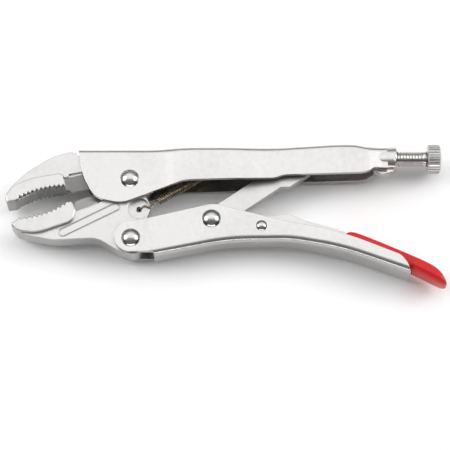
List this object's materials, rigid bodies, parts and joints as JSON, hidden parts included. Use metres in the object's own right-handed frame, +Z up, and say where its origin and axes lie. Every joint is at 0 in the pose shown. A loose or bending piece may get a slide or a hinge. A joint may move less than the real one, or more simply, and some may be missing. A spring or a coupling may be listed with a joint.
{
  "type": "locking pliers",
  "caption": "Locking pliers with curved toothed jaws and wire cutter, toggle-linked channel handles, red release lever and knurled adjusting screw.",
  "frame": {"origin": "centre of the base of the tool's bounding box, as it lies on its side", "axes": "+X towards the adjusting knob, +Y towards the upper handle's back, +Z up, across the jaws' thickness"},
  "size_m": [0.1808, 0.062, 0.0176],
  "materials": {
    "plated_sheet": "satin nickel plating on pressed sheet",
    "forged_jaw": "blasted and nickel plated forging",
    "rivet": "polished",
    "link": "plated, satin",
    "lever_steel": "plated, satin",
    "red_grip": "glossy dip-coated plastic",
    "screw": "zinc plated",
    "spring_wire": "dark oiled spring wire"
  },
  "bodies": {
    "frame": {"upper_handle": "plated_sheet", "upper_jaw": "forged_jaw", "jaw_pivot_rivet": "rivet"},
    "moving_jaw": {"lower_jaw": "forged_jaw", "opening_spring": "spring_wire"},
    "handle": {"lower_handle": "plated_sheet", "handle_pivot_rivet": "rivet", "link_rivet": "rivet", "release_lever_rivet": "rivet"},
    "link": {"toggle_link": "link"},
    "release": {"release_lever": "lever_steel", "release_lever_grip": "red_grip"},
    "screw": {"adjusting_screw": "screw"},
    "knob": {"screw_knob": "screw"}
  },
  "joints": [
    {"name": "jaw_pivot", "type": "hinge", "parent": "frame", "child": "moving_jaw", "pos_m": [-0.03926, 0.0142, 0.0088], "axis": [0, 0, 1], "range_deg": [-3, 20], "deforming": ["opening_spring"]},
    {"name": "handle_pivot", "type": "hinge", "parent": "moving_jaw", "child": "handle", "pos_m": [-0.03846, -0.0116, 0.0088], "axis": [0, 0, 1], "range_deg": [-45.3, 6.9]},
    {"name": "link_pivot", "type": "hinge", "parent": "handle", "child": "link", "pos_m": [-0.00556, -0.0033, 0.0088], "axis": [0, 0, 1], "range_deg": [-7.4, 48.9]},
    {"name": "release_pivot", "type": "hinge", "parent": "handle", "child": "release", "pos_m": [0.01494, -0.0064, 0.0088], "axis": [0, 0, 1], "range_deg": [0, 5]},
    {"name": "screw_travel", "type": "slide", "parent": "frame", "child": "screw", "axis": [1, 0, 0], "range_m": [0, 0.01]},
    {"name": "knob_turn", "type": "hinge", "parent": "screw", "child": "knob", "pos_m": [0.08074, 0.025, 0.0088], "axis": [1, 0, 0], "range_deg": [0, 2880.5]}
  ],
  "couplings": [
    {"joint": "handle_pivot", "follows": "jaw_pivot", "ratio": -2.26},
    {"joint": "link_pivot", "follows": "jaw_pivot", "ratio": 2.44},
    {"joint": "knob_turn", "follows": "screw_travel", "rad_per_m": 5026.5}
  ]
}
